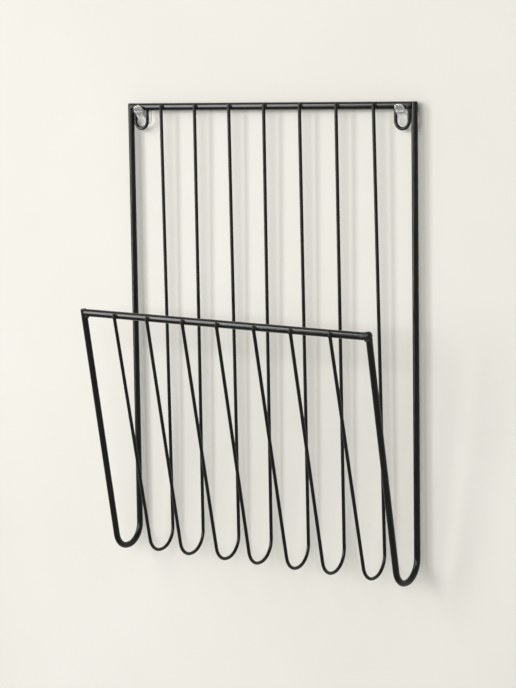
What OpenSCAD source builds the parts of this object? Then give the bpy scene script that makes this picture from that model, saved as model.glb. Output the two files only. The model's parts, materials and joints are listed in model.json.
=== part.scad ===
// Wall magazine rack: welded black steel wire, hung on two clear stick-on hooks.
// The wall is the plane Y = 0 and the rack stands out from it towards -Y.
// Z = 0 is the middle line of the top rail. All sizes are in millimetres.

/* [Rack] */
// Overall width, over the outer sides of the side rods
rack_w = 300; // [240:1:400]
// Overall height, from the top of the top rail to the underside of the side rods
rack_h = 400; // [330:1:520]
// Depth from the back of the top rail to the front of the front rail
rack_d = 79; // [64:1:110]
// How far the front rail sits below the top rail, middle to middle
front_drop = 180; // [120:1:230]
// How far the right end of the front rail sits below its left end
front_tilt = 5.3; // [0:0.1:8]

/* [Rods and wires] */
// Diameter of the top rail and the front rail
rail_dia = 6.5; // [5:0.1:8]
// Diameter of the two side rods
rod_dia = 5.5; // [4:0.1:7]
// Diameter of the thin rack wires
wire_dia = 3; // [2.5:0.1:4]
// Number of rack wires, evenly spaced between the side rods
wire_count = 7; // [5:1:9]
// Centreline radius of the bend behind the lowest point of the pocket
back_bend_r = 18; // [14:0.5:26]
// Centreline radius of the bend in front of the lowest point
front_bend_r = 15; // [10:0.5:20]
// How far the tips of the rack wires reach past the middle lines of the rails
tip_reach = 1; // [0:0.1:2]
// Rounding of the cut ends of the side rods
end_round = 0.8; // [0.3:0.1:1.5]
// Depth to which the ends of the rails are hollowed out to fit the round side rods
rail_cope = 0.8; // [0.4:0.1:1.4]
// Rounding of the tips of the rack wires
tip_round = 0.6; // [0.2:0.1:0.6]
// Loss of thickness where a wire is stretched round a bend
bend_thinning = 0.02; // [0.01:0.01:0.1]

/* [Hanging loops] */
// Diameter of the loop wire
loop_dia = 3; // [2:0.1:3.6]
// Centreline radius of the round bottom of a loop
loop_r = 6.5; // [5.5:0.1:8]
// How far the inside of a loop reaches below the arm of its hook
loop_room = 11; // [9:0.5:16]
// Gap between a loop and the side rod beside it
loop_gap = 0.75; // [0.5:0.25:12]

/* [Wall hooks] */
// Room between the hook's arm and the welds of the loop, on each side
loop_clear = 0.4; // [0.3:0.1:1.2]
// Room between the top rail and the hook
seat_clear = 0.3; // [0.2:0.05:0.6]
// Thickness of the hook's arm and lip
hook_t = 3; // [2:0.1:3.4]
// Angle by which the lip leans away from the wall
lip_lean = 30; // [25:1:35]
// Height of the lip's tip above the middle line of the top rail
lip_rise = 1.5; // [0.5:0.1:4]
// Width of the hook's base plate
base_w = 13; // [11:0.5:15]
// Height of the hook's base plate
base_h = 20; // [18:0.5:24]
// Thickness of the hook's base plate
base_t = 2.5; // [2:0.1:4]
// How far the middle of the base plate sits below the middle line of the top rail
base_drop = 7.5; // [5:0.5:9]
// Distance from the lower end of the base plate up to the foot of the hook's sloping rib
rib_margin = 3.5; // [3:0.5:6]
// Thickness of the adhesive pad
pad_t = 1; // [0.6:0.1:1.5]
// Distance of the pad's edge inside the base plate's edge
pad_margin = 1; // [0.5:0.1:2]

/* [Welds] */
// Depth to which the rack wires are pressed into the rails
weld_sink = 0.4; // [0.2:0.1:0.8]
// How far the weld between a rack wire and a rail stands out beside the wire
wire_weld_over = 0.7; // [0.4:0.1:1]
// How far the middle of that weld sits in front of the rail's face
wire_weld_ahead = 0.3; // [0.1:0.1:0.6]
// Radius of the weld bead in the inner corner of a rail and a side rod
corner_weld_r = 2.5; // [2:0.1:3.2]
// How far the middle of that bead sits outside the faces that meet in the corner
corner_weld_shift = 0.2; // [0.1:0.1:0.4]
// How far the heavy weld that caps the right end of the front rail stands out over the rail
cap_weld_over = 1.25; // [1.1:0.05:2]
// How far the heavy weld sits outwards and upwards of the corner's middle
cap_weld_shift = 0.4; // [0.2:0.1:0.8]
// How far the weld between a loop and the top rail stands out around the loop's wire
loop_weld_over = 0.5; // [0.3:0.1:1]

/* [Hidden] */
$fn = 64;

paint = [0.07, 0.07, 0.065];
weld_paint = [0.1, 0.1, 0.095];
clear_plastic = [0.9, 0.92, 0.92, 0.5];
pad_white = [0.93, 0.93, 0.9];

LEFT = -1;
RIGHT = 1;

rail_r = rail_dia / 2;
rod_r = rod_dia / 2;
wire_r = wire_dia / 2;
loop_wire_r = loop_dia / 2;

// The rails: places in Y of their middle lines, and the angle and height of the front rail
seat_r = rail_r + seat_clear;
rail_y = -(pad_t + base_t + seat_r);
front_y = rail_y - (rack_d - rail_dia);
front_slant = asin(front_tilt / rack_w);
function front_z(x) = -front_drop - x * tan(front_slant);

// The side rods and rack wires
rod_x = (rack_w - rod_dia) / 2;
rail_len = 2 * (rod_x - rod_r + rail_cope);
bottom_z = rail_r + rod_r - rack_h;
wire_pitch = 2 * rod_x / (wire_count + 1);
lap = rail_r + wire_r - weld_sink;

// The loops and the hooks that pass through them
loop_x = rod_x - rod_r - loop_gap - loop_wire_r - loop_r;
loop_drop = seat_r + hook_t + loop_room + loop_wire_r;
loop_weld_r = loop_wire_r + loop_weld_over;
hook_w = 2 * (loop_r - loop_weld_r - loop_clear);
hook_r = seat_r + hook_t;
lip_mid_r = seat_r + hook_t / 2;
lip_len = (lip_rise - hook_t / 2 + lip_mid_r * sin(lip_lean)) / cos(lip_lean);
lip_start = 180 + lip_lean;
arc_steps = 12;

// The foot of the hook's rib, inside the base plate, and the angle at which the rib leaves the hook's bow
rib_foot = [seat_r + base_t / 2, rib_margin - base_drop - base_h / 2];
rib_tangent = 360 + atan2(rib_foot[1], rib_foot[0]) - acos(hook_r / norm(rib_foot));
rib_start = max(rib_tangent, lip_start + 1);

// The welds: radii, and the distance of a wire's weld from the middle line of its rail
wire_weld_r = wire_r + wire_weld_over;
wire_weld_y = rail_r + wire_weld_ahead;
cap_weld_r = rail_r + cap_weld_over;

// Length of the straight stretch between the two bends at the bottom of the pocket
bottom_run = 1;
// Angle by which the end of a bend is buried in the straight wire that it joins
bend_bury = 1;

// How far the bottom of each rack wire strays to the right of its top end, from bending by hand
wire_stray = [1, -2, 0.5, -1.5, 1, 1, 5];

function wire_x(i) = wire_pitch * i - rod_x;
function wire_slant(i) = asin(wire_stray[(i - 1) % len(wire_stray)] / bottom_z);

// Points of an arc in a plane, from one angle to another
function arc(centre, r, from, to) =
    [for (k = [0:arc_steps]) let (a = from + (to - from) * k / arc_steps)
        centre + r * [cos(a), sin(a)]];

// Side profile of the pocket. All bent wires share its two bends, and their legs rise from there to the
// rails, where they pass the middle lines of the rails on the outer side, at the distance "ahead".
// The front legs differ with the wire's place x, because the front rail is tilted.
back_bend_y = rail_y - back_bend_r;
back_bend_z = bottom_z + back_bend_r;
back_rise = norm([back_bend_r, back_bend_z]);
function back_lean(ahead) = asin((back_bend_r + ahead) / back_rise) - asin(back_bend_r / back_rise);
function back_len(ahead) = sqrt(pow(back_rise, 2) - pow(back_bend_r + ahead, 2));

front_bend_y = back_bend_y - bottom_run;
front_bend_z = bottom_z + front_bend_r;
function front_rise(x) = norm([front_bend_y - front_y, front_z(x) - front_bend_z]);
function front_lean(ahead, x) =
    atan2(front_bend_y - front_y, front_z(x) - front_bend_z) - asin((front_bend_r - ahead) / front_rise(x));
function front_len(ahead, x) = sqrt(pow(front_rise(x), 2) - pow(front_bend_r - ahead, 2));

// Turns a shape drawn in XY into the YZ plane
module in_side_view() {
    rotate([90, 0, 90]) children();
}

// A straight round bar along Z, with its far end rounded
module bar(dia, len, round_off = 0) {
    cylinder(d = dia, h = len - round_off);
    if (round_off > 0) {
        cylinder(d = dia - 2 * round_off, h = len);
        translate([0, 0, len - round_off])
            rotate_extrude() translate([dia / 2 - round_off, 0]) circle(r = round_off);
    }
}

// A straight round bar along Y of the side view
module upright(dia, len, round_off = 0) {
    rotate([-90, 0, 0]) bar(dia, len, round_off);
}

// A round bend in the side view, buried at both ends in the straight bars that it joins
module bend(dia, r, start, sweep) {
    rotate([0, 0, start - bend_bury])
        rotate_extrude(angle = sweep + 2 * bend_bury)
            translate([r, 0]) circle(d = dia - bend_thinning);
}

// The three straight stretches of a bent wire: behind the pocket, under it and in front of it
module back_leg(dia, ahead, reach, round_off) {
    in_side_view()
        translate([back_bend_y, back_bend_z, 0])
            rotate([0, 0, back_lean(ahead)])
                translate([back_bend_r, 0, 0])
                    upright(dia, back_len(ahead) + reach, round_off);
}

module pocket_floor(dia) {
    in_side_view()
        translate([front_bend_y, bottom_z, 0])
            rotate([0, 90, 0]) bar(dia, bottom_run);
}

module front_leg(x, dia, ahead, reach, round_off) {
    in_side_view()
        translate([front_bend_y, front_bend_z, 0])
            rotate([0, 0, front_lean(ahead, x)])
                translate([-front_bend_r, 0, 0])
                    upright(dia, front_len(ahead, x) + reach, round_off);
}

// One wire bent into the pocket's U, from the top rail down and up to the front rail at the place x
module bent_wire(x, dia, ahead, reach, round_off) {
    lean = front_lean(ahead, x);
    back_leg(dia, ahead, reach, round_off);
    pocket_floor(dia);
    front_leg(x, dia, ahead, reach, round_off);
    in_side_view() {
        translate([back_bend_y, back_bend_z, 0])
            bend(dia, back_bend_r, -90, 90 + back_lean(ahead));
        translate([front_bend_y, front_bend_z, 0])
            bend(dia, front_bend_r, 180 + lean, 90 - lean);
    }
}

// A rail lies along X between the side rods
module rail_bar() {
    rotate([0, 90, 0]) cylinder(d = rail_dia, h = rail_len, center = true);
}

module at_top_rail() {
    translate([0, rail_y, 0]) children();
}

module at_front_rail() {
    translate([0, front_y, -front_drop]) rotate([0, front_slant, 0]) children();
}

// The side rods reach up to the tops of the rails, which end against them
module side_rod(side) {
    color(paint)
        translate([side * rod_x, 0, 0]) bent_wire(side * rod_x, rod_dia, 0, rail_r, end_round);
}

module rod_back(side) {
    translate([side * rod_x, 0, 0]) back_leg(rod_dia, 0, rail_dia, 0);
}

module rod_front(side) {
    translate([side * rod_x, 0, 0]) front_leg(side * rod_x, rod_dia, 0, rail_dia, 0);
}

module top_rail() {
    color(paint)
        difference() {
            at_top_rail() rail_bar();
            for (side = [LEFT, RIGHT])
                rod_back(side);
        }
}

module front_rail() {
    color(paint)
        difference() {
            at_front_rail() rail_bar();
            for (side = [LEFT, RIGHT])
                rod_front(side);
        }
}

// Puts a shape of a rack wire below its top end, with the wire's own slant
module at_wire(i) {
    translate([wire_x(i), 0, 0]) rotate([0, wire_slant(i), 0]) children();
}

// The rack wires lap over the front of both rails
module rack_wire(i) {
    color(paint)
        difference() {
            at_wire(i) bent_wire(wire_x(i), wire_dia, lap, tip_reach, tip_round);
            at_top_rail() rail_bar();
            at_front_rail() rail_bar();
        }
}

// A U of thin wire that hangs under the top rail, in the plane of the rail
module loop_legs(side) {
    for (leg = [LEFT, RIGHT])
        translate([side * loop_x + leg * loop_r, rail_y, loop_r - loop_drop])
            bar(loop_dia, loop_drop - loop_r);
}

module hanging_loop(side) {
    color(paint)
        difference() {
            union() {
                loop_legs(side);
                translate([side * loop_x, rail_y, loop_r - loop_drop])
                    rotate([90, 0, 0]) bend(loop_dia, loop_r, 180, 180);
            }
            at_top_rail() rail_bar();
        }
}

// An upright oblong outline, round at both ends
module oblong(w, h) {
    square([w, h - w], center = true);
    for (end = [-1, 1])
        translate([0, end * (h - w) / 2]) circle(d = w);
}

module on_wall(side) {
    translate([side * loop_x, 0, -base_drop])
        rotate([90, 0, 0]) children();
}

// Side view of the hook around the rail's middle: arm, round seat, leaning lip and sloping rib
module hook_side_view() {
    lip_tip = lip_mid_r * [cos(lip_start), sin(lip_start)] + lip_len * [-sin(lip_lean), cos(lip_lean)];
    polygon(concat(
        [[rib_foot[0], -seat_r]],
        arc([0, 0], seat_r, 270, lip_start),
        arc(lip_tip, hook_t / 2, lip_lean, lip_start),
        arc([0, 0], hook_r, lip_start, rib_start),
        [rib_foot]
    ));
}

// Front view of the hook's rib, arm and lip, round at the top
module hook_front_view() {
    low = min(rib_foot[1], -hook_r);
    polygon(concat(
        [[hook_w / 2, low]],
        arc([0, lip_rise - hook_w / 2], hook_w / 2, 0, 180),
        [[-hook_w / 2, low]]
    ));
}

module wall_hook(side) {
    reach = 2 * (hook_r + lip_len);
    color(clear_plastic) {
        on_wall(side) translate([0, 0, pad_t])
            linear_extrude(base_t) oblong(base_w, base_h);
        translate([side * loop_x, rail_y, 0])
            intersection() {
                in_side_view() linear_extrude(hook_w, center = true) hook_side_view();
                rotate([90, 0, 0]) linear_extrude(reach, center = true) hook_front_view();
            }
    }
}

module adhesive_pad(side) {
    color(pad_white)
        on_wall(side)
            linear_extrude(pad_t)
                oblong(base_w - 2 * pad_margin, base_h - 2 * pad_margin);
}

// Weld metal around the place where each rack wire lies on a rail
module top_wire_welds() {
    color(weld_paint)
        for (i = [1:wire_count])
            difference() {
                at_wire(i) at_top_rail() rotate([back_lean(lap), 0, 0])
                    translate([0, -wire_weld_y, 0]) sphere(r = wire_weld_r);
                at_top_rail() rail_bar();
                at_wire(i) back_leg(wire_dia, lap, tip_reach, 0);
            }
}

module front_wire_welds() {
    color(weld_paint)
        for (i = [1:wire_count])
            difference() {
                at_wire(i) translate([0, front_y, front_z(wire_x(i))])
                    rotate([front_lean(lap, wire_x(i)), 0, 0])
                        translate([0, -wire_weld_y, 0]) sphere(r = wire_weld_r);
                at_front_rail() rail_bar();
                at_wire(i) front_leg(wire_x(i), wire_dia, lap, tip_reach, 0);
            }
}

// A bead in the inner corner between the underside of a rail and a side rod
module corner_bead(side) {
    translate([side * (rod_x - rod_r - corner_weld_shift), 0, -(rail_r + corner_weld_shift)])
        sphere(r = corner_weld_r);
}

module top_corner_welds() {
    color(weld_paint)
        for (side = [LEFT, RIGHT])
            difference() {
                at_top_rail() corner_bead(side);
                at_top_rail() rail_bar();
                rod_back(side);
                loop_legs(side);
                loop_weld_balls(side);
            }
}

// A bead inside the left corner, and a heavy cap around the right one.
// For the bead the rail's space is turned over, which keeps the seam of its round face clear of the bead.
module front_corner_welds() {
    color(weld_paint) {
        difference() {
            at_front_rail() corner_bead(LEFT);
            at_front_rail() rotate([180, 0, 0]) rail_bar();
            rod_front(LEFT);
        }
        difference() {
            at_front_rail() translate([rod_x + cap_weld_shift, 0, cap_weld_shift]) sphere(r = cap_weld_r);
            at_front_rail() rail_bar();
            side_rod(RIGHT);
        }
    }
}

module loop_weld_balls(side) {
    for (leg = [LEFT, RIGHT])
        translate([side * loop_x + leg * loop_r, rail_y, -rail_r]) sphere(r = loop_weld_r);
}

module loop_welds(side) {
    color(weld_paint)
        difference() {
            loop_weld_balls(side);
            at_top_rail() rail_bar();
            loop_legs(side);
        }
}

top_rail();
front_rail();
side_rod(LEFT);  // left_side_rod
side_rod(RIGHT);  // right_side_rod
for (i = [1:wire_count])
    rack_wire(i);
hanging_loop(LEFT);  // left_hanging_loop
hanging_loop(RIGHT);  // right_hanging_loop
wall_hook(LEFT);  // left_wall_hook
wall_hook(RIGHT);  // right_wall_hook
adhesive_pad(LEFT);  // left_adhesive_pad
adhesive_pad(RIGHT);  // right_adhesive_pad
top_wire_welds();
front_wire_welds();
top_corner_welds();
front_corner_welds();
loop_welds(LEFT);  // left_loop_welds
loop_welds(RIGHT);  // right_loop_welds
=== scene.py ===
# Looks of the wall magazine rack: satin black wire, lumpy welds and clear moulded wall hooks.
# All places are in metres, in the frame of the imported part: the wall is Y = 0 and +Z is up.

import json
import math

import bmesh
import bpy
from mathutils import Euler, Matrix, Vector, noise


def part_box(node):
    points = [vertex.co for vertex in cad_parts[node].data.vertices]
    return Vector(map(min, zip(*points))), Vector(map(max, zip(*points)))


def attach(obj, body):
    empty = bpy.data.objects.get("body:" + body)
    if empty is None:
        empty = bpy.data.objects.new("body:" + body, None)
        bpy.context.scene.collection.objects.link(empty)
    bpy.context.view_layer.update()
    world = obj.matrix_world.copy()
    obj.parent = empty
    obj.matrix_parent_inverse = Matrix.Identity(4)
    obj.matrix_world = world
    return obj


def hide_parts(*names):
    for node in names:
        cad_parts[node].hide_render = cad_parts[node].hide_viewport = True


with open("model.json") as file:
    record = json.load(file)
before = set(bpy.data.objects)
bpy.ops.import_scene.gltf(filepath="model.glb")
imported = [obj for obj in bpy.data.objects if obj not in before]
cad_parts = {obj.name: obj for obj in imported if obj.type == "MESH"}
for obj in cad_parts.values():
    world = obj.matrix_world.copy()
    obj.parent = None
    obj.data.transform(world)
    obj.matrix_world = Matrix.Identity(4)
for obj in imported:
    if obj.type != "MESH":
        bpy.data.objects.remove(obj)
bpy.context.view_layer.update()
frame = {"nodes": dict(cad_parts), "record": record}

MM = 0.001
SIDES = {"left": -1, "right": 1}
WIRE_COUNT = sum(name.startswith("rack_wire_") for name in frame["nodes"])

# Camera: the point it looks at and where it stands around that point, as fitted to the photograph
IMAGE_HEIGHT = 688
FOCAL_PIXELS = 2221.5
SENSOR_MM = 36.0
VIEW_TARGET = Vector((-12.55, -7.05, -205.26)) * MM
VIEW_DISTANCE = 1.9281
VIEW_AZIMUTH = math.radians(35.275)
VIEW_ELEVATION = math.radians(6.832)
VIEW_ROLL = math.radians(0.843)

# Stage: the wall stands just behind the pads, the floor well below the rack
WALL_GAP = 0.2 * MM
STAGE_SIZE = 5.0
FLOOR_Z = -2.4

# Room around the stage: its brightness as a light, and as seen directly, in gloss and through plastic
ROOM_LIGHT = 0.27
ROOM_LOOK = 0.58
ROOM_COLOUR = (0.97, 0.97, 0.95, 1)

# Lamps: their light is close to white
KEY_COLOUR = (1.0, 0.99, 0.97)
WINDOW_COLOUR = (1.0, 0.995, 0.985)

# Noise patterns: the values between which most of a pattern lies, and a closer span for stronger tones
NOISE_SPAN = (0.3, 0.7)
TONE_SPAN = (0.35, 0.65)

# Paint: the grain sizes of its tone, its slow waves and its orange peel, and the two kinds of it
PAINT_CLOUD = 14 * MM
PAINT_WAVE = 2.6 * MM
PAINT_WAVE_STRENGTH = 0.6
PAINT_PEEL = 0.7 * MM
PAINT_PEEL_DEPTH = 0.03 * MM
PAINT_PEEL_STRENGTH = 0.5
PAINT_GLOSS = 0.26
PAINTS = {
    "black_paint": {
        "dark": (0.002, 0.002, 0.0015),
        "light": (0.005, 0.005, 0.004),
        "rough": (0.14, 0.22),
        "wave_depth": 0.012 * MM,
    },
    "weld_paint": {
        "dark": (0.005, 0.005, 0.004),
        "light": (0.012, 0.012, 0.010),
        "rough": (0.28, 0.4),
        "wave_depth": 0.03 * MM,
    },
}

# Clear plastic of the hooks
PLASTIC_WAVE = 3.5 * MM
PLASTIC_WAVE_DEPTH = 0.05 * MM
PLASTIC_WAVE_STRENGTH = 0.3
PLASTIC_CLEARNESS = 0.85
PLASTIC_IOR = 1.49
PLASTIC_GLOSS = 0.25
PLASTIC_DARK = (0.77, 0.78, 0.78)
PLASTIC_LIGHT = (0.88, 0.885, 0.88)
PLASTIC_ROUGH = (0.02, 0.07)

# Foam of the pads
FOAM_CELL = 0.4 * MM
FOAM_CELL_DEPTH = 0.08 * MM
FOAM_CELL_STRENGTH = 0.5
FOAM_DARK = (0.58, 0.58, 0.55)
FOAM_LIGHT = (0.66, 0.66, 0.63)
FOAM_ROUGH = (0.7, 0.9)

# Plaster of the wall and the floor
PLASTER_MOTTLE = 0.35
PLASTER_TOOTH = 6 * MM
PLASTER_TOOTH_DEPTH = 0.3 * MM
PLASTER_TOOTH_STRENGTH = 0.25
PLASTER_ROUGHNESS = 0.9
PLASTER_GLOSS = 0.2
WALL_DARK = (0.78, 0.77, 0.715)
WALL_LIGHT = (0.84, 0.83, 0.78)
FLOOR_DARK = (0.5, 0.5, 0.48)
FLOOR_LIGHT = (0.58, 0.58, 0.56)

# Fused meshes: how far each smoothing pass moves a point towards its neighbours
SMOOTH_FACTOR = 0.5

# Wall hooks: sizes of the moulded shape around the middle line of the top rail
SEAT_CLEAR = 0.3 * MM
HOOK_THICK = 3.0 * MM
HOOK_WIDTH = 8.2 * MM
LIP_LEAN = math.radians(30)
LIP_RISE = 1.5 * MM
BASE_THICK = 2.5 * MM
BASE_EDGE = 0.9 * MM
BASE_ARRIS = 0.2 * MM
RIB_MARGIN = 1.0 * MM
MOULD_VOXEL = 0.2 * MM
MOULD_SMOOTHING = 8
ARC_STEPS = 16
EDGE_STEPS = 4

# Welds: lean of the thin wires at the two rails, and the fineness, lumps and smoothing of the beads
WIRE_LEAN = {"top_rail": math.radians(0.7), "front_rail": math.radians(12.1)}
NEAR_RAIL = 8 * MM
BEAD_FINENESS = 4
BEAD_VOXEL = 0.16 * MM
BEAD_LUMP = 0.22 * MM
BEAD_LUMP_SPACING = 1.3 * MM
BEAD_SMOOTHING = 2
CAP_SMOOTHING = 45

# Weld beads as lumps: place and half size in millimetres, around the points named in their functions
WIRE_BEADS = [
    ((-1.6, -0.3, -1.2), (1.0, 1.1, 1.6)),
    ((1.5, -0.2, -0.2), (0.85, 1.0, 1.9)),
    ((0.0, -0.9, 1.3), (1.4, 1.3, 1.6)),
]
TOP_CORNER_BEADS = [
    ((-0.4, 0.0, -0.4), (2.0, 2.1, 1.9)),
    ((-1.6, 0.0, 0.1), (1.6, 1.8, 1.2)),
    ((0.2, 0.0, -1.6), (1.0, 1.7, 1.4)),
    ((-1.9, -2.8, 3.2), (2.0, 1.0, 2.6)),
]
FRONT_LEFT_BEADS = [
    ((0.3, 0.2, -0.3), (1.9, 2.0, 1.9)),
    ((1.4, 0.1, 0.2), (1.5, 1.7, 1.0)),
]
FRONT_RIGHT_BEADS = [
    ((-0.3, 0.0, 0.6), (3.2, 3.7, 3.7)),
    ((-2.6, -0.2, 0.6), (3.2, 3.5, 3.2)),
    ((-5.2, -0.1, 0.2), (4.4, 3.35, 3.3)),
    ((0.1, 0.5, -3.0), (2.95, 3.1, 2.8)),
    ((-2.8, 0.3, -3.0), (1.5, 1.8, 1.5)),
]
LOOP_BEADS = [
    ((0.0, 0.0, 0.2), (1.95, 1.95, 1.0)),
    ((0.0, 0.0, -0.4), (1.7, 1.7, 0.9)),
]


def middle(node):
    low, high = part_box(node)
    return (low + high) / 2


def half_size(node):
    low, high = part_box(node)
    return (high - low) / 2


def rail_radius(node):
    return half_size(node).y


def on_rail(node, x):
    """The point of a rail's middle line at a place along X."""
    low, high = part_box(node)
    points = [vert.co for vert in frame["nodes"][node].data.vertices]
    left = [p.z for p in points if p.x < low.x + NEAR_RAIL]
    right = [p.z for p in points if p.x > high.x - NEAR_RAIL]
    left_z = (min(left) + max(left)) / 2
    right_z = (min(right) + max(right)) / 2
    share = (x - low.x) / (high.x - low.x)
    return Vector((x, middle(node).y, left_z + (right_z - left_z) * share))


# Shader helpers

def new_material(name):
    """A node material, its tree, its main shader and its coordinates in the part's frame."""
    material = bpy.data.materials.new(name)
    material.use_nodes = True
    tree = material.node_tree
    shader = tree.nodes["Principled BSDF"]
    coords = tree.nodes.new("ShaderNodeTexCoord")
    return material, tree, shader, coords.outputs["Object"]


def grain(tree, coords, size, detail):
    """Noise whose lumps are about the given size across."""
    node = tree.nodes.new("ShaderNodeTexNoise")
    node.inputs["Scale"].default_value = 1 / size
    node.inputs["Detail"].default_value = detail
    tree.links.new(coords, node.inputs["Vector"])
    return node.outputs["Fac"]


def tones(tree, value, span, dark, light):
    """Colours from dark to light over a span of a pattern's values."""
    node = tree.nodes.new("ShaderNodeValToRGB")
    for element, place, colour in zip(node.color_ramp.elements, span, (dark, light)):
        element.position = place
        element.color = (*colour, 1)
    tree.links.new(value, node.inputs["Fac"])
    return node.outputs["Color"]


def spread(tree, value, low, high):
    """Stretches the middle of a noise pattern over a range of numbers."""
    node = tree.nodes.new("ShaderNodeMapRange")
    node.inputs["From Min"].default_value = NOISE_SPAN[0]
    node.inputs["From Max"].default_value = NOISE_SPAN[1]
    node.inputs["To Min"].default_value = low
    node.inputs["To Max"].default_value = high
    tree.links.new(value, node.inputs["Value"])
    return node.outputs["Result"]


def relief(tree, height, depth, strength, below=None):
    """A bump of the given depth, over another one where that is given."""
    node = tree.nodes.new("ShaderNodeBump")
    node.inputs["Distance"].default_value = depth
    node.inputs["Strength"].default_value = strength
    tree.links.new(height, node.inputs["Height"])
    if below is not None:
        tree.links.new(below, node.inputs["Normal"])
    return node.outputs["Normal"]


# Materials

def paint_material(name, dark, light, rough, wave_depth):
    """Satin black paint: uneven tone, orange peel and slow waves in the gloss."""
    material, tree, shader, coords = new_material(name)
    cloud = grain(tree, coords, PAINT_CLOUD, detail=4)
    peel = grain(tree, coords, PAINT_PEEL, detail=1)
    wave = grain(tree, coords, PAINT_WAVE, detail=2)
    tree.links.new(tones(tree, cloud, TONE_SPAN, dark, light), shader.inputs["Base Color"])
    tree.links.new(spread(tree, cloud, *rough), shader.inputs["Roughness"])
    normal = relief(tree, wave, wave_depth, PAINT_WAVE_STRENGTH)
    normal = relief(tree, peel, PAINT_PEEL_DEPTH, PAINT_PEEL_STRENGTH, below=normal)
    tree.links.new(normal, shader.inputs["Normal"])
    shader.inputs["Specular IOR Level"].default_value = PAINT_GLOSS
    return material


def plastic_material():
    """Clear moulded plastic with faint waves from the mould."""
    material, tree, shader, coords = new_material("clear_plastic_look")
    wave = grain(tree, coords, PLASTIC_WAVE, detail=1)
    shader.inputs["Transmission Weight"].default_value = PLASTIC_CLEARNESS
    shader.inputs["IOR"].default_value = PLASTIC_IOR
    shader.inputs["Specular IOR Level"].default_value = PLASTIC_GLOSS
    colour = tones(tree, wave, NOISE_SPAN, PLASTIC_DARK, PLASTIC_LIGHT)
    normal = relief(tree, wave, PLASTIC_WAVE_DEPTH, PLASTIC_WAVE_STRENGTH)
    tree.links.new(colour, shader.inputs["Base Color"])
    tree.links.new(spread(tree, wave, *PLASTIC_ROUGH), shader.inputs["Roughness"])
    tree.links.new(normal, shader.inputs["Normal"])
    return material


def foam_material():
    """Milky foam tape with fine cells."""
    material, tree, shader, coords = new_material("adhesive_foam_look")
    cells = grain(tree, coords, FOAM_CELL, detail=3)
    colour = tones(tree, cells, TONE_SPAN, FOAM_DARK, FOAM_LIGHT)
    normal = relief(tree, cells, FOAM_CELL_DEPTH, FOAM_CELL_STRENGTH)
    tree.links.new(colour, shader.inputs["Base Color"])
    tree.links.new(spread(tree, cells, *FOAM_ROUGH), shader.inputs["Roughness"])
    tree.links.new(normal, shader.inputs["Normal"])
    return material


def plaster_material(name, dark, light, one_sided):
    """Pale plaster. The wall's is clear from behind, so that it never hides the rack."""
    material, tree, shader, coords = new_material(name)
    mottle = grain(tree, coords, PLASTER_MOTTLE, detail=3)
    tooth = grain(tree, coords, PLASTER_TOOTH, detail=3)
    normal = relief(tree, tooth, PLASTER_TOOTH_DEPTH, PLASTER_TOOTH_STRENGTH)
    tree.links.new(tones(tree, mottle, NOISE_SPAN, dark, light), shader.inputs["Base Color"])
    tree.links.new(normal, shader.inputs["Normal"])
    shader.inputs["Roughness"].default_value = PLASTER_ROUGHNESS
    shader.inputs["Specular IOR Level"].default_value = PLASTER_GLOSS
    if one_sided:
        geometry = tree.nodes.new("ShaderNodeNewGeometry")
        clear = tree.nodes.new("ShaderNodeBsdfTransparent")
        mix = tree.nodes.new("ShaderNodeMixShader")
        tree.links.new(geometry.outputs["Backfacing"], mix.inputs["Fac"])
        tree.links.new(shader.outputs["BSDF"], mix.inputs[1])
        tree.links.new(clear.outputs["BSDF"], mix.inputs[2])
        tree.links.new(mix.outputs["Shader"], tree.nodes["Material Output"].inputs["Surface"])
    return material


# Mesh helpers

def mesh_object(name, bm, material):
    mesh = bpy.data.meshes.new(name)
    bm.to_mesh(mesh)
    bm.free()
    obj = bpy.data.objects.new(name, mesh)
    bpy.context.scene.collection.objects.link(obj)
    mesh.materials.append(material)
    return obj


def apply_modifiers(obj):
    """Puts the result of an object's modifiers in place of its mesh."""
    depsgraph = bpy.context.evaluated_depsgraph_get()
    result = bpy.data.meshes.new_from_object(obj.evaluated_get(depsgraph))
    obj.modifiers.clear()
    old = obj.data
    obj.data = result
    bpy.data.meshes.remove(old)
    result.name = obj.name


def fuse(obj, voxel, smoothing):
    """Melts the overlapping shells of an object into one smooth skin."""
    remesh = obj.modifiers.new("fuse", "REMESH")
    remesh.mode = "VOXEL"
    remesh.voxel_size = voxel
    remesh.use_smooth_shade = True
    smooth = obj.modifiers.new("smooth", "SMOOTH")
    smooth.factor = SMOOTH_FACTOR
    smooth.iterations = smoothing
    apply_modifiers(obj)


def add_rings(bm, rings):
    """A closed skin over a row of rings that have the same number of points."""
    rows = [[bm.verts.new(point) for point in ring] for ring in rings]
    for row, following in zip(rows, rows[1:]):
        for k in range(len(row)):
            j = (k + 1) % len(row)
            bm.faces.new((row[k], row[j], following[j], following[k]))
    bm.faces.new(reversed(rows[0]))
    bm.faces.new(rows[-1])


def add_lump(bm, place, radii, turn):
    """A ball of weld metal, stretched and roughened."""
    made = bmesh.ops.create_icosphere(bm, subdivisions=BEAD_FINENESS, radius=1)
    for vert in made["verts"]:
        point = Vector(c * r for c, r in zip(vert.co, radii))
        point.rotate(turn)
        point += place
        bulge = noise.noise(point / BEAD_LUMP_SPACING, noise_basis="PERLIN_ORIGINAL")
        vert.co = point + BEAD_LUMP * bulge * (point - place).normalized()


# Wall hooks

def arc(centre, radius, start, end):
    """Points of an arc in a plane, between two angles in radians."""
    points = []
    for k in range(ARC_STEPS + 1):
        a = start + (end - start) * k / ARC_STEPS
        points.append((centre[0] + radius * math.cos(a), centre[1] + radius * math.sin(a)))
    return points


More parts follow.
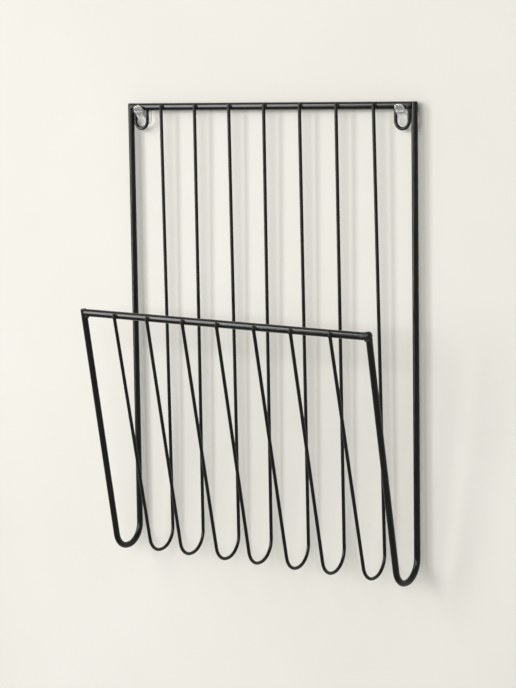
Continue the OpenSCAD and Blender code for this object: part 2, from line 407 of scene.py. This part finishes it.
def hook_side_view(seat_r, foot):
    """Outline in Y and Z around the rail's middle: arm, round seat, leaning lip and sloping rib."""
    outer_r = seat_r + HOOK_THICK
    mid_r = seat_r + HOOK_THICK / 2
    lip_start = math.pi + LIP_LEAN
    lip_len = (LIP_RISE - HOOK_THICK / 2 + mid_r * math.sin(LIP_LEAN)) / math.cos(LIP_LEAN)
    tip = (mid_r * math.cos(lip_start) - lip_len * math.sin(LIP_LEAN),
           mid_r * math.sin(lip_start) + lip_len * math.cos(LIP_LEAN))
    rib_start = 2 * math.pi + math.atan2(foot[1], foot[0]) - math.acos(outer_r / math.hypot(*foot))
    outline = [(foot[0], -seat_r)]
    outline += arc((0, 0), seat_r, 1.5 * math.pi, lip_start)
    outline += arc(tip, HOOK_THICK / 2, LIP_LEAN, lip_start)
    outline += arc((0, 0), outer_r, lip_start, rib_start)
    outline.append(foot)
    return outline


def oblong(low, high, y, inset=0.0):
    """Outline of an upright plate with round ends that fills a box in X and Z."""
    half_w = (high.x - low.x) / 2
    x = (low.x + high.x) / 2
    upper = arc((x, high.z - half_w), half_w - inset, 0, math.pi)
    lower = arc((x, low.z + half_w), half_w - inset, math.pi, 2 * math.pi)
    return [Vector((px, y, pz)) for px, pz in upper + lower]


def base_plate(bm, low, high):
    """An upright oblong plate with its front edge rounded."""
    front = high.y - BASE_THICK
    steps = [(high.y, BASE_ARRIS), (high.y - BASE_ARRIS, 0)]
    for k in range(EDGE_STEPS + 1):
        a = math.pi / 2 * k / EDGE_STEPS
        steps.append((front + BASE_EDGE * (1 - math.sin(a)), BASE_EDGE * (1 - math.cos(a))))
    add_rings(bm, [oblong(low, high, y, inset) for y, inset in steps])


def tongue(x, rail, seat_r, low, plastic):
    """The hook itself: its side view, cut to a front view that is round at both ends."""
    half_w = HOOK_WIDTH / 2
    foot = (seat_r + BASE_THICK / 2, low.z + RIB_MARGIN - rail.z)
    side_view = hook_side_view(seat_r, foot)
    bm = bmesh.new()
    add_rings(bm, [[Vector((x + dx, rail.y + y, rail.z + z)) for y, z in side_view]
                   for dx in (-half_w, half_w)])
    bmesh.ops.recalc_face_normals(bm, faces=bm.faces)
    bar = mesh_object("hook_bar", bm, plastic)
    reach = 2 * HOOK_WIDTH
    outline = arc((x, rail.z + LIP_RISE - half_w), half_w, 0, math.pi)
    outline += arc((x, rail.z + foot[1] + half_w), half_w, math.pi, 2 * math.pi)
    bm = bmesh.new()
    add_rings(bm, [[Vector((px, rail.y + dy, pz)) for px, pz in outline]
                   for dy in (-reach, reach)])
    bmesh.ops.recalc_face_normals(bm, faces=bm.faces)
    front_view = mesh_object("hook_front_view", bm, plastic)
    cut = bar.modifiers.new("front_view", "BOOLEAN")
    cut.operation = "INTERSECT"
    cut.solver = "EXACT"
    cut.object = front_view
    apply_modifiers(bar)
    bpy.data.meshes.remove(front_view.data)
    return bar


def wall_hook(side, plastic):
    """A clear hook: rounded base plate, arm under the rail, leaning lip and a sloping rib below."""
    node = f"{side}_wall_hook"
    low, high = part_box(node)
    rail = middle("top_rail")
    seat_r = rail_radius("top_rail") + SEAT_CLEAR
    x = (low.x + high.x) / 2
    bar = tongue(x, rail, seat_r, low, plastic)
    bm = bmesh.new()
    bm.from_mesh(bar.data)
    bpy.data.meshes.remove(bar.data)
    base_plate(bm, low, high)
    bmesh.ops.recalc_face_normals(bm, faces=bm.faces)
    hook = mesh_object(f"{side}_hook_moulding", bm, plastic)
    fuse(hook, MOULD_VOXEL, MOULD_SMOOTHING)
    # Clear plastic lets the light through to what is behind it
    hook.visible_shadow = False
    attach(hook, "wall_hooks")
    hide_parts(node)


# Welds

def add_beads(bm, origin, beads, sign=1, lean=0.0):
    """Lumps given by place and half size in millimetres, with X mirrored where sign is -1."""
    for place, half in beads:
        offset = Vector((sign * place[0], place[1], place[2])) * MM
        turn = Euler((lean, 0, 0))
        offset.rotate(turn)
        add_lump(bm, origin + offset, Vector(half) * MM, turn)


def finish_welds(name, bm, material, node, smoothing=BEAD_SMOOTHING):
    bmesh.ops.recalc_face_normals(bm, faces=bm.faces)
    welds = mesh_object(name, bm, material)
    fuse(welds, BEAD_VOXEL, smoothing)
    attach(welds, "rack")
    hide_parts(node)


def wire_at_rail(node, rail_node):
    """The point of a rail's middle line that a thin wire crosses, as seen from the front."""
    rail = on_rail(rail_node, middle(node).x)
    places = [vert.co.x for vert in frame["nodes"][node].data.vertices
              if abs(vert.co.y - rail.y) < NEAR_RAIL and abs(vert.co.z - rail.z) < NEAR_RAIL]
    return on_rail(rail_node, (min(places) + max(places)) / 2)


def wire_welds(rail_node, material):
    """Beads beside and over the end of each thin wire where it lies on a rail."""
    lean = WIRE_LEAN[rail_node]
    front = Vector((0, -rail_radius(rail_node), 0))
    front.rotate(Euler((lean, 0, 0)))
    bm = bmesh.new()
    for i in range(1, WIRE_COUNT + 1):
        crossing = wire_at_rail(f"rack_wire_{i}", rail_node)
        add_beads(bm, crossing + front, WIRE_BEADS, lean=lean)
    kind = rail_node.split("_")[0]
    finish_welds(f"{kind}_wire_beads", bm, material, f"{kind}_wire_welds")


def top_corner_welds(material):
    """Weld metal between the rail, the side rod and the outer leg of the loop, and over the rail's front."""
    rail = middle("top_rail")
    rail_r = rail_radius("top_rail")
    bm = bmesh.new()
    for side, sign in SIDES.items():
        rod = f"{side}_side_rod"
        inner_x = middle(rod).x - sign * half_size(rod).x
        add_beads(bm, Vector((inner_x, rail.y, rail.z - rail_r)), TOP_CORNER_BEADS, sign)
    finish_welds("top_corner_beads", bm, material, "top_corner_welds")


def front_corner_welds(material):
    """A small bead inside the left corner and a heavy cap around the right one."""
    rail_r = rail_radius("front_rail")
    rod_r = half_size("left_side_rod").x
    bm = bmesh.new()
    left = on_rail("front_rail", middle("left_side_rod").x + rod_r) - Vector((0, 0, rail_r))
    add_beads(bm, left, FRONT_LEFT_BEADS)
    right = on_rail("front_rail", middle("right_side_rod").x)
    add_beads(bm, right, FRONT_RIGHT_BEADS)
    finish_welds("front_corner_beads", bm, material, "front_corner_welds", CAP_SMOOTHING)


def loop_welds(side, material):
    """A collar of weld metal where each leg of a loop meets the rail."""
    rail = middle("top_rail")
    rail_r = rail_radius("top_rail")
    loop = f"{side}_hanging_loop"
    leg = half_size(loop).x - half_size(loop).y
    bm = bmesh.new()
    for sign in SIDES.values():
        foot = Vector((middle(loop).x + sign * leg, rail.y, rail.z - rail_r))
        add_beads(bm, foot, LOOP_BEADS)
    finish_welds(f"{side}_loop_beads", bm, material, f"{side}_loop_welds")


# Stage, light and camera

def flat_sheet(name, outlines, facing, material):
    """A flat sheet inside the first outline, with an opening inside each of the others."""
    bm = bmesh.new()
    edges = []
    for outline in outlines:
        verts = [bm.verts.new(point) for point in outline]
        edges += [bm.edges.new((verts[k - 1], verts[k])) for k in range(len(verts))]
    bmesh.ops.triangle_fill(bm, use_beauty=True, edges=edges, normal=facing)
    mesh_object(name, bm, material)


def stage():
    """The wall, open behind the pads so that light from behind reaches them, and the floor."""
    half = STAGE_SIZE / 2
    wall = [[(-half, WALL_GAP, FLOOR_Z), (half, WALL_GAP, FLOOR_Z),
             (half, WALL_GAP, half), (-half, WALL_GAP, half)]]
    wall += [oblong(*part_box(f"{side}_adhesive_pad"), WALL_GAP) for side in SIDES]
    plaster = plaster_material("wall_plaster", WALL_DARK, WALL_LIGHT, one_sided=True)
    flat_sheet("wall", wall, (0, -1, 0), plaster)
    floor = [(-half, -half, FLOOR_Z), (half, -half, FLOOR_Z),
             (half, half, FLOOR_Z), (-half, half, FLOOR_Z)]
    plaster = plaster_material("floor_plaster", FLOOR_DARK, FLOOR_LIGHT, one_sided=False)
    flat_sheet("floor", [floor], (0, 0, 1), plaster)


def soft_lamp(name, azimuth, elevation, distance, width, height, glow, colour):
    """A wide lamp that faces the rack, from angles in degrees. Glow 1 is as bright as a lit white wall."""
    lamp = bpy.data.lights.new(name, "AREA")
    lamp.shape = "RECTANGLE"
    lamp.size = width
    lamp.size_y = height
    lamp.energy = glow * math.pi * width * height
    lamp.color = colour
    obj = bpy.data.objects.new(name, lamp)
    bpy.context.scene.collection.objects.link(obj)
    a = math.radians(azimuth)
    e = math.radians(elevation)
    back = Vector((math.sin(a) * math.cos(e), -math.cos(a) * math.cos(e), math.sin(e)))
    obj.location = VIEW_TARGET + back * distance
    obj.rotation_mode = "QUATERNION"
    obj.rotation_quaternion = back.to_track_quat("Z", "Y")
    obj.visible_camera = False
    return obj


def lights():
    """A wide key lamp in front, a tall narrow window on the left and a strip that only gloss shows."""
    soft_lamp("key", azimuth=2, elevation=14, distance=4.2,
              width=4.2, height=1.8, glow=4.7, colour=KEY_COLOUR)
    soft_lamp("window", azimuth=-40, elevation=17, distance=2.4,
              width=0.62, height=2.3, glow=5.2, colour=WINDOW_COLOUR)
    strip = soft_lamp("strip", azimuth=-40.5, elevation=17, distance=2.35,
                      width=0.66, height=2.3, glow=8.3, colour=WINDOW_COLOUR)
    strip.visible_diffuse = False
    strip.visible_transmission = False


def room():
    """A room that lights the rack dimly and looks paler than it lights."""
    world = bpy.data.worlds.new("studio")
    bpy.context.scene.world = world
    world.use_nodes = True
    tree = world.node_tree
    path = tree.nodes.new("ShaderNodeLightPath")
    seen = path.outputs["Is Camera Ray"]
    for kind in ("Is Glossy Ray", "Is Transmission Ray"):
        either = tree.nodes.new("ShaderNodeMath")
        either.operation = "MAXIMUM"
        tree.links.new(seen, either.inputs[0])
        tree.links.new(path.outputs[kind], either.inputs[1])
        seen = either.outputs["Value"]
    strength = tree.nodes.new("ShaderNodeMapRange")
    strength.inputs["To Min"].default_value = ROOM_LIGHT
    strength.inputs["To Max"].default_value = ROOM_LOOK
    tree.links.new(seen, strength.inputs["Value"])
    background = tree.nodes["Background"]
    background.inputs["Color"].default_value = ROOM_COLOUR
    tree.links.new(strength.outputs["Result"], background.inputs["Strength"])


def camera():
    data = bpy.data.cameras.new("camera")
    data.sensor_width = SENSOR_MM
    data.lens = FOCAL_PIXELS * SENSOR_MM / IMAGE_HEIGHT
    obj = bpy.data.objects.new("camera", data)
    bpy.context.scene.collection.objects.link(obj)
    a, e = VIEW_AZIMUTH, VIEW_ELEVATION
    forward = Vector((-math.sin(a) * math.cos(e), math.cos(a) * math.cos(e), -math.sin(e)))
    right = Vector((math.cos(a), math.sin(a), 0))
    down = forward.cross(right)
    c, s = math.cos(VIEW_ROLL), math.sin(VIEW_ROLL)
    image_right = c * right + s * down
    image_up = s * right - c * down
    turn = Matrix((image_right, image_up, -forward)).transposed().to_4x4()
    obj.matrix_world = Matrix.Translation(VIEW_TARGET - forward * VIEW_DISTANCE) @ turn
    bpy.context.scene.camera = obj


def dress_nodes(looks):
    """Gives each CAD node the look of its material slot in the record."""
    for part in frame["record"]["subparts"]:
        materials = frame["nodes"][part["node"]].data.materials
        materials.clear()
        materials.append(looks[part["material_slot"]])


bpy.context.scene.view_settings.view_transform = "Standard"
camera()
stage()
lights()
room()

looks = {slot: paint_material(f"{slot}_look", **paint) for slot, paint in PAINTS.items()}
looks["clear_plastic"] = plastic_material()
looks["adhesive_foam"] = foam_material()
dress_nodes(looks)
for side in SIDES:
    wall_hook(side, looks["clear_plastic"])
    loop_welds(side, looks["weld_paint"])
wire_welds("top_rail", looks["weld_paint"])
wire_welds("front_rail", looks["weld_paint"])
top_corner_welds(looks["weld_paint"])
front_corner_welds(looks["weld_paint"])
